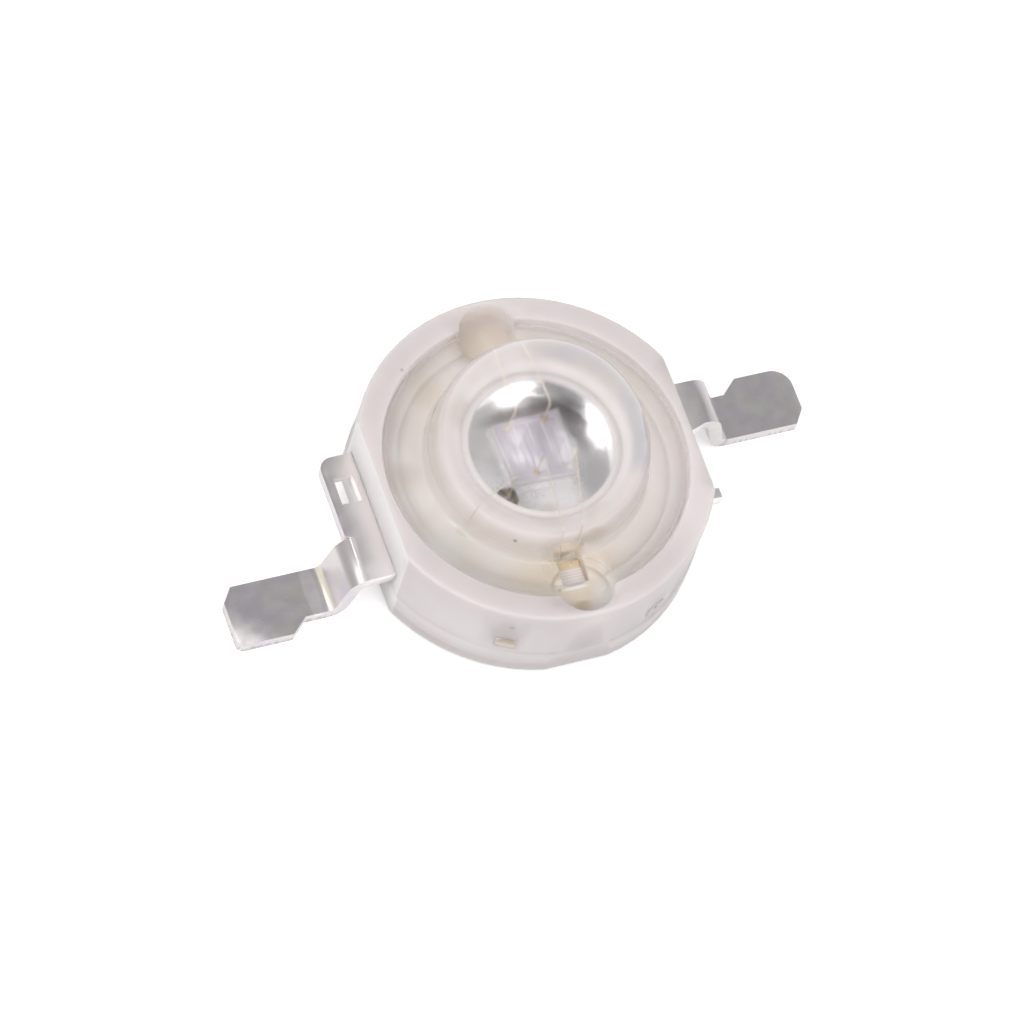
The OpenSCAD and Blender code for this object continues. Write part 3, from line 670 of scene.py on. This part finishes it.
def slug_plate():
    """Turned and plated slug: bright cup, satin floor with painted shade and painted reflections, dull
    underneath, and resin flash on the rim.
    """
    look = Look("slug_plate")
    wander = look.noise(0.3)
    colour = look.mix(wander, *SLUG)
    # Painted shade and painted reflections on the cup's floor, with a resin film and a spot
    for place, *terms in CUP_PAINTED_LIGHT_AND_MARKS:
        colour = look.marked(colour, (*place, CUP_Z), *terms)
    flash = look.times(look.beyond(look.radius(), FLASH_FROM_R), look.beyond(look.axis("Z"), FLASH_FROM_Z))
    look.set(Base_Color=look.mix(flash, colour, FLASH))
    unmirrored = []
    # No mirror under the painted reflection and the resin film
    for place, *terms, strength in CUP_FILM_AND_PAINTED_WEDGE:
        unmirrored.append(look.times(look.spot((*place, CUP_Z), *terms), strength))
    look.set(Metallic=look.rest(look.most(flash, look.most(*unmirrored))))
    underneath = look.over(look.axis("Z"), FOOT_DULL_TO_Z, FOOT_DULL, 0.0)
    dull = look.plus(look.range(wander, *NOISE_SPAN, *SLUG_DULL), underneath)
    dull = look.plus(dull, look.over(look.radius(), CUP_FLOOR_DULL_TO_R, CUP_FLOOR_DULL, 0.0))
    look.set(Roughness=look.most(dull, look.times(flash, FLASH_DULL)))
    turning = look.times(look.waves(look.radius(), TURNING_PITCH), wander)
    look.set(Normal=look.bump(turning, depth=0.0003, under=cup_normal(look)))
    return look.material


def die_adhesive():
    """Cloudy white adhesive under the two dies."""
    look = Look("die_adhesive", Roughness=0.6)
    look.set(Base_Color=look.mix(look.noise(0.05), *ADHESIVE))
    return look.material


def chip_body():
    """The chip's violet grey face, with two paler parts, and its sides painted pale to give a highlight in
    the cup's mirror.
    """
    look = Look("chip_body", Roughness=0.38, IOR=1.5, Metallic=0.15)
    colour = look.mix(look.clouds(0.35, 0.35, 0.65, detail=2.0), *CHIP)
    for place, *terms in CHIP_PATCHES:
        colour = look.marked(colour, (*place, CHIP_TOP), *terms)
    # Painted light: pale sides, so that the cup's wall mirrors them as a highlight
    side_face = look.range(look.lying(), *SIDE_TO_TILT, 1.0, 0.0)
    look.set(Base_Color=look.mix(side_face, colour, CHIP_SIDE_PAINTED_LIGHT))
    look.set(Normal=look.bump(look.noise(0.02, detail=2.0), depth=0.0004))
    return look.material


def contact_metal():
    """Contact metal: pale grey fingers that end in small gold pads."""
    look = Look("contact_gold", Roughness=0.40, Metallic=0.15)
    colour = look.mix(look.noise(0.1, detail=2.0), *CONTACT)
    for wire, shade in PAD_SHADES.items():
        colour = look.marked(colour, WIRES[wire][0], PAD_R, PAD_EDGE, EVEN, PAD_STRENGTH, shade)
    look.set(Base_Color=colour)
    return look.material


def gold():
    """Thin gold wire, with each ball on the chip as bright as the photograph has it."""
    look = Look("gold_wire", Roughness=0.40, Metallic=0.6)
    drawn = look.mix(look.noise(0.06), *GOLD)
    ball = look.times(look.within(look.axis("Z"), BALL_TO_Z), look.within(look.radius(), BALL_TO_R))
    colour = look.mix(ball, drawn, GOLD_BALL)
    for wire, shade in PAD_SHADES.items():
        colour = look.marked(colour, WIRES[wire][0], PAD_R, BALL_EDGE, EVEN, 1.0, shade)
    look.set(Base_Color=colour)
    return look.material


def dark_silicon():
    """Mottled dark face of the protection die."""
    look = Look("dark_silicon", Roughness=0.35, IOR=1.6)
    mottle = look.clouds(0.07, 0.42, 0.58, detail=4.0)
    look.set(Base_Color=look.mix(mottle, *SILICON))
    return look.material


def clear_resin():
    """Clear resin whose haze changes with height; shadow and diffuse rays pass straight through it."""
    look = Look("clear_resin", IOR=1.46, Transmission_Weight=1.0, Base_Color=RESIN)
    look.set(Normal=look.bump(look.noise(1.4, detail=2.0), depth=0.002))
    haze = look.over(look.axis("Z"), HAZE_Z, *HAZE)
    haze = look.plus(haze, look.times(look.spot(*BACK_PORT), BACK_PORT_HAZE))
    clearing = look.times(look.spot(*FRONT_PORT), FRONT_PORT_CLEARING)
    look.set(Roughness=look.math("SUBTRACT", haze, clearing))
    path = look.node("ShaderNodeLightPath")
    passes = look.most(path.outputs["Is Shadow Ray"], path.outputs["Is Diffuse Ray"])
    either = look.node("ShaderNodeMixShader")
    look.feed(either.inputs[0], passes)
    look.feed(either.inputs[1], look.shader.outputs[0])
    look.feed(either.inputs[2], look.node("ShaderNodeBsdfTransparent").outputs[0])
    look.feed(look.tree.nodes["Material Output"].inputs["Surface"], either.outputs[0])
    return look.material


def floor_white():
    """White that shows even to the camera and to mirrors, and still takes a shadow."""
    look = Look("floor_white", Roughness=0.9, Emission_Color=WHITE, Specular_IOR_Level=0.0)
    look.set(Base_Color=look.mix(look.noise(FLOOR_SPECK, detail=2.0), *FLOOR_COLOURS))
    path = look.node("ShaderNodeLightPath")
    seen = look.most(path.outputs["Is Camera Ray"], path.outputs["Is Glossy Ray"])
    seen = look.most(seen, path.outputs["Is Transmission Ray"])
    look.set(Emission_Strength=look.times(seen, FLOOR_GLOW))
    return look.material


def arc(centre, radius, start, end, steps=ROUND_STEPS):
    """Points of an arc in a profile of radius and height; angles in degrees from the radial direction."""
    points = []
    for i in range(steps + 1):
        angle = math.radians(start + (end - start) * i / steps)
        points.append((centre[0] + radius * math.cos(angle), centre[1] + radius * math.sin(angle)))
    return points


def link(piece):
    """Puts an object into the scene."""
    bpy.context.scene.collection.objects.link(piece)
    return piece


def as_object(made, name):
    """Makes an object of a bmesh, which is used up."""
    mesh = bpy.data.meshes.new(name)
    made.to_mesh(mesh)
    made.free()
    return bpy.data.objects.new(name, mesh)


def as_solid(made, name):
    """Makes an object of a closed bmesh and turns its faces outward."""
    bmesh.ops.recalc_face_normals(made, faces=made.faces)
    return link(as_object(made, name))


def as_piece(made, name, material, sharp):
    """Makes a smooth piece in metres of a closed bmesh in millimetres; edges past the sharp angle stay."""
    piece = as_solid(made, name)
    piece.data.transform(Matrix.Scale(MM, 4))
    piece.data.shade_smooth()
    piece.data.set_sharp_from_angle(angle=math.radians(sharp))
    piece.data.materials.append(material)
    return piece


def square(name, half):
    """A level square, half its side in metres."""
    made = bmesh.new()
    bmesh.ops.create_grid(made, x_segments=1, y_segments=1, size=half)
    return link(as_object(made, name))


def turn(made, profile, segments, place=Matrix()):
    """Adds a closed solid of revolution, from a profile that starts and ends on the axis."""
    rings = []
    for radius, z in profile:
        ring = []
        for i in range(segments if radius else 1):
            angle = 2 * math.pi * i / segments
            point = Vector((radius * math.cos(angle), radius * math.sin(angle), z))
            ring.append(made.verts.new(place @ point))
        rings.append(ring)
    for low, high in zip(rings, rings[1:]):
        for i in range(segments):
            j = (i + 1) % segments
            corners = [low[i % len(low)], low[j % len(low)], high[j % len(high)], high[i % len(high)]]
            made.faces.new(list(dict.fromkeys(corners)))


def block(low, high):
    """A box from its lowest to its highest corner."""
    made = bmesh.new()
    size = Vector(high) - Vector(low)
    centre = (Vector(high) + Vector(low)) / 2
    bmesh.ops.create_cube(made, size=1.0, matrix=Matrix.Translation(centre) @ Matrix.Diagonal((*size, 1)))
    return made


def drum(centre, radius, low, high):
    """An upright cylinder from one height to another."""
    made = bmesh.new()
    place = Matrix.Translation((centre[0], centre[1], (low + high) / 2))
    bmesh.ops.create_cone(made, cap_ends=True, segments=DRUM_SEGMENTS, radius1=radius, radius2=radius,
                          depth=high - low, matrix=place)
    return made


def join(base, made, name):
    """Joins a bmesh, which is used up, to the base object."""
    other = as_solid(made, name)
    step = base.modifiers.new("join", "BOOLEAN")
    step.operation = "UNION"
    step.solver = "EXACT"
    step.object = other
    graph = bpy.context.evaluated_depsgraph_get()
    result = bpy.data.meshes.new_from_object(base.evaluated_get(graph))
    base.modifiers.clear()
    base.data = result
    bpy.data.objects.remove(other)


def optics_profile():
    """Half section of the lens with the gel under it; what rests on solids is sunk a little into them."""
    fillet_centre = (FOOT_R + FLANGE_FILLET, FLANGE_TOP + FLANGE_FILLET)
    corner_centre = (CUP_FLOOR_R - CUP_CORNER_R + SINK, CUP_Z + CUP_CORNER_R - SINK)
    return [
        (0.0, DOME_Z + DOME_R), *arc((0.0, DOME_Z), DOME_R, 90, 0, DOME_STEPS)[1:],
        *arc(fillet_centre, FLANGE_FILLET, 180, 270),
        (FLANGE_R - FLANGE_CHAMFER, FLANGE_TOP), (FLANGE_R, FLANGE_TOP - FLANGE_CHAMFER),
        (RECESS_R + SINK, FLANGE_TOP - FLANGE_CHAMFER), (RECESS_R + SINK, SEAT_Z - SINK),
        (SEAT_IN_R + SINK, SEAT_Z - SINK), (SEAT_IN_R + SINK, FLOOR_Z - SINK),
        (COLLAR_FOOT_R - SINK, FLOOR_Z - SINK), (COLLAR_TOP_R - SINK, COLLAR_Z - SINK),
        (COLUMN_R - SINK, COLLAR_Z - SINK), (COLUMN_R - SINK, RIM_Z - RIM_CHAMFER - SINK),
        (COLUMN_R - RIM_CHAMFER - SINK, RIM_Z - SINK), (RIM_R + SINK, RIM_Z - SINK),
        *arc(corner_centre, CUP_CORNER_R, 360, 270),
        (0.0, CUP_Z - SINK),
    ]


def optics():
    """Lens and gel as one clear body, with the gel in the bond slots, the fill ports and the pocket."""
    made = bmesh.new()
    turn(made, optics_profile(), OPTICS_SEGMENTS)
    body = as_solid(made, "optics_raw")
    for side in (1, -1):
        near, far = sorted((side * SLOT_Y, side * SLOT_END_Y))
        slot_low = (-SLOT_W / 2 - SINK, near, FRAME_TOP - SINK)
        slot_high = (SLOT_W / 2 + SINK, far, SEAT_Z - SLOT_GAP)
        join(body, block(slot_low, slot_high), "slot")
        well = drum((0, side * PORT_Y), PORT_R + SINK, PORT_FLOOR_Z - SINK, FLANGE_TOP + GEL_SKIN)
        join(body, well, "well")
    join(body, drum(POCKET_PLACE, POCKET_R + SINK, FRAME_TOP - SINK, SEAT_Z + POCKET_LAP), "pocket")
    made = bmesh.new()
    made.from_mesh(body.data)
    bpy.data.objects.remove(body)
    piece = as_piece(made, "clear_optics", clear_resin(), sharp=25)
    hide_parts("lens", "silicone_fill")
    return piece


def wire_path(start, end):
    """Route of a bond wire: up from its ball, over the rim at loop height, and down to its flat bond."""
    flat = Vector((end[0] - start[0], end[1] - start[1]))
    run = flat.length
    along = flat / run
    start_r = math.hypot(start[0], start[1])
    end_r = math.hypot(end[0], end[1])
    top_end = run * (LOOP_TURN - start_r) / (end_r - start_r)
    drop = Vector((run - top_end, end[2] - (LOOP_Z - WIRE_BEND_R)))
    dip = math.atan2(drop[0], drop[1]) - math.acos(WIRE_BEND_R / drop.length)
    points = [(0.0, start[2]), (0.0, (start[2] + LOOP_Z - WIRE_BEND_R) / 2)]
    points += arc((WIRE_BEND_R, LOOP_Z - WIRE_BEND_R), WIRE_BEND_R, 180, 90)
    points += arc((top_end, LOOP_Z - WIRE_BEND_R), WIRE_BEND_R, 90, 90 - math.degrees(dip))
    points += [(run, end[2] + WIRE_R)]
    return [Vector((start[0] + along[0] * s, start[1] + along[1] * s, z)) for s, z in points]


def tube(made, path):
    """Adds a round tube along a path that keeps to one upright plane."""
    side = Vector((path[-1][1] - path[0][1], path[0][0] - path[-1][0], 0)).normalized()
    rings = []
    for i, point in enumerate(path):
        ahead = (path[min(i + 1, len(path) - 1)] - path[max(i - 1, 0)]).normalized()
        up = side.cross(ahead)
        ring = []
        for k in range(WIRE_SIDES):
            angle = 2 * math.pi * k / WIRE_SIDES
            ring.append(made.verts.new(point + (side * math.cos(angle) + up * math.sin(angle)) * WIRE_R))
        rings.append(ring)
    for low, high in zip(rings, rings[1:]):
        for k in range(WIRE_SIDES):
            made.faces.new((low[k], low[(k + 1) % WIRE_SIDES], high[(k + 1) % WIRE_SIDES], high[k]))
    made.faces.new(rings[0])
    made.faces.new(rings[-1])


def blob(made, place, lift, radius, shape, heading=0.0):
    """Adds a ball squashed to a shape, a little above its place."""
    profile = [(0.0, radius), *arc((0.0, 0.0), radius, 90, -90, BALL_STEPS)[1:-1], (0.0, -radius)]
    at = Matrix.Translation(Vector(place) + Vector((0, 0, lift)))
    turn(made, profile, BALL_SEGMENTS, at @ Matrix.Rotation(heading, 4, "Z") @ Matrix.Diagonal((*shape, 1)))


def bond_wire(name, start, end, material):
    """One wire as a round tube, with its squashed ball and its flat bond."""
    made = bmesh.new()
    tube(made, wire_path(start, end))
    blob(made, start, BALL_LIFT, BALL_R, BALL_SHAPE)
    spread = Vector((end[0] - start[0], end[1] - start[1], 0)).normalized()
    blob(made, end, STITCH_LIFT, STITCH_R, STITCH_SHAPE, math.atan2(spread[1], spread[0]))
    piece = as_piece(made, name + "_drawn", material, sharp=50)
    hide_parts(name)
    return piece


def dress(node, material, bevel=0.0):
    """Gives a CAD node its material, smooth faces and, if asked, slightly rounded edges."""
    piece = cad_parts[node]
    piece.data.materials.clear()
    piece.data.materials.append(material)
    piece.data.shade_smooth()
    piece.data.set_sharp_from_angle(angle=math.radians(SHARP_ANGLE))
    weld = piece.modifiers.new("weld", "WELD")
    weld.merge_threshold = WELD * MM
    if bevel:
        edge = piece.modifiers.new("edge", "BEVEL")
        edge.width = bevel * MM
        edge.segments = 2
        edge.limit_method = "ANGLE"
        edge.angle_limit = math.radians(ROUNDED_ANGLE)
        even = piece.modifiers.new("even", "WEIGHTED_NORMAL")
        even.keep_sharp = True


def stand_off(thing, azimuth, elevation, distance, aim=(0, 0, 0)):
    """Sets a camera, lamp or card at a distance from where it aims, turned to face it."""
    a, e = math.radians(azimuth), math.radians(elevation)
    back = Vector((math.sin(a) * math.cos(e), -math.cos(a) * math.cos(e), math.sin(e)))
    thing.location = Vector(aim) + back * distance
    thing.rotation_mode = "QUATERNION"
    thing.rotation_quaternion = (-back).to_track_quat("-Z", "Y")


def camera():
    data = bpy.data.cameras.new("camera")
    data.lens = CAMERA_LENS
    data.sensor_width = SENSOR
    data.clip_start = CAMERA_NEAR * MM
    data.clip_end = CAMERA_FAR * MM
    made = link(bpy.data.objects.new("camera", data))
    stand_off(made, CAMERA_AZIMUTH, CAMERA_ELEVATION, CAMERA_DISTANCE * MM, Vector(CAMERA_AIM) * MM)
    made.rotation_quaternion = made.rotation_quaternion @ Quaternion((0, 0, 1), math.radians(CAMERA_ROLL))
    bpy.context.scene.camera = made


def lamp(name, azimuth, elevation, distance, width, power):
    """A round soft lamp."""
    data = bpy.data.lights.new(name, "AREA")
    data.shape = "DISK"
    data.size = width
    data.energy = power
    stand_off(link(bpy.data.objects.new(name, data)), azimuth, elevation, distance)


def card(name, azimuth, elevation, distance, width, grey):
    """A grey card over the object that only metal and glass see."""
    sheet = square(name, width / 2)
    stand_off(sheet, azimuth, elevation, distance)
    material = bpy.data.materials.new(name)
    material.use_nodes = True
    tree = material.node_tree
    tree.nodes.clear()
    glow = tree.nodes.new("ShaderNodeEmission")
    glow.inputs["Color"].default_value = (grey, grey, grey, 1)
    output = tree.nodes.new("ShaderNodeOutputMaterial")
    tree.links.new(glow.outputs[0], output.inputs["Surface"])
    sheet.data.materials.append(material)
    sheet.visible_camera = False
    sheet.visible_diffuse = False
    sheet.visible_shadow = False


def plain_world():
    """White for what sees the background, and an even pale light on everything else."""
    world = bpy.data.worlds.new("world")
    bpy.context.scene.world = world
    world.use_nodes = True
    tree = world.node_tree
    tree.nodes.clear()
    path = tree.nodes.new("ShaderNodeLightPath")
    seen = path.outputs["Is Camera Ray"]
    for name in ("Is Glossy Ray", "Is Transmission Ray"):
        either = tree.nodes.new("ShaderNodeMath")
        either.operation = "MAXIMUM"
        tree.links.new(seen, either.inputs[0])
        tree.links.new(path.outputs[name], either.inputs[1])
        seen = either.outputs[0]
    light = tree.nodes.new("ShaderNodeBackground")
    light.inputs["Strength"].default_value = AMBIENT
    white = tree.nodes.new("ShaderNodeBackground")
    white.inputs["Color"].default_value = WHITE
    mix = tree.nodes.new("ShaderNodeMixShader")
    tree.links.new(seen, mix.inputs[0])
    tree.links.new(light.outputs[0], mix.inputs[1])
    tree.links.new(white.outputs[0], mix.inputs[2])
    output = tree.nodes.new("ShaderNodeOutputWorld")
    tree.links.new(mix.outputs[0], output.inputs["Surface"])


def floor():
    """A plain white floor that keeps the object's shadow."""
    ground = square("floor", FLOOR_HALF)
    ground.data.materials.append(floor_white())


camera()
plain_world()
floor()
for lamp_name, terms in LAMPS.items():
    lamp(lamp_name, *terms)
for card_name, terms in CARDS.items():
    card(card_name, *terms)

dress("housing", milky_plastic())
lead_metal = lead_plate()
for node in ("anode_lead", "cathode_lead", "tie_bar_stub"):
    dress(node, lead_metal, bevel=LEAD_EDGE)
dress("heat_slug", slug_plate(), bevel=SLUG_EDGE)
adhesive = die_adhesive()
for node in ("die_attach", "protection_attach"):
    dress(node, adhesive)
dress("led_chip", chip_body())
dress("protection_die", dark_silicon())
contact = contact_metal()
for node in ("p_electrode", "n_electrode"):
    dress(node, contact)

pieces = [optics()]
gold_wire = gold()
for wire_name, (bond_start, bond_end) in WIRES.items():
    pieces.append(bond_wire(wire_name, bond_start, bond_end, gold_wire))
for piece in pieces:
    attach(piece, BODY)

bpy.context.scene.view_settings.view_transform = "Standard"
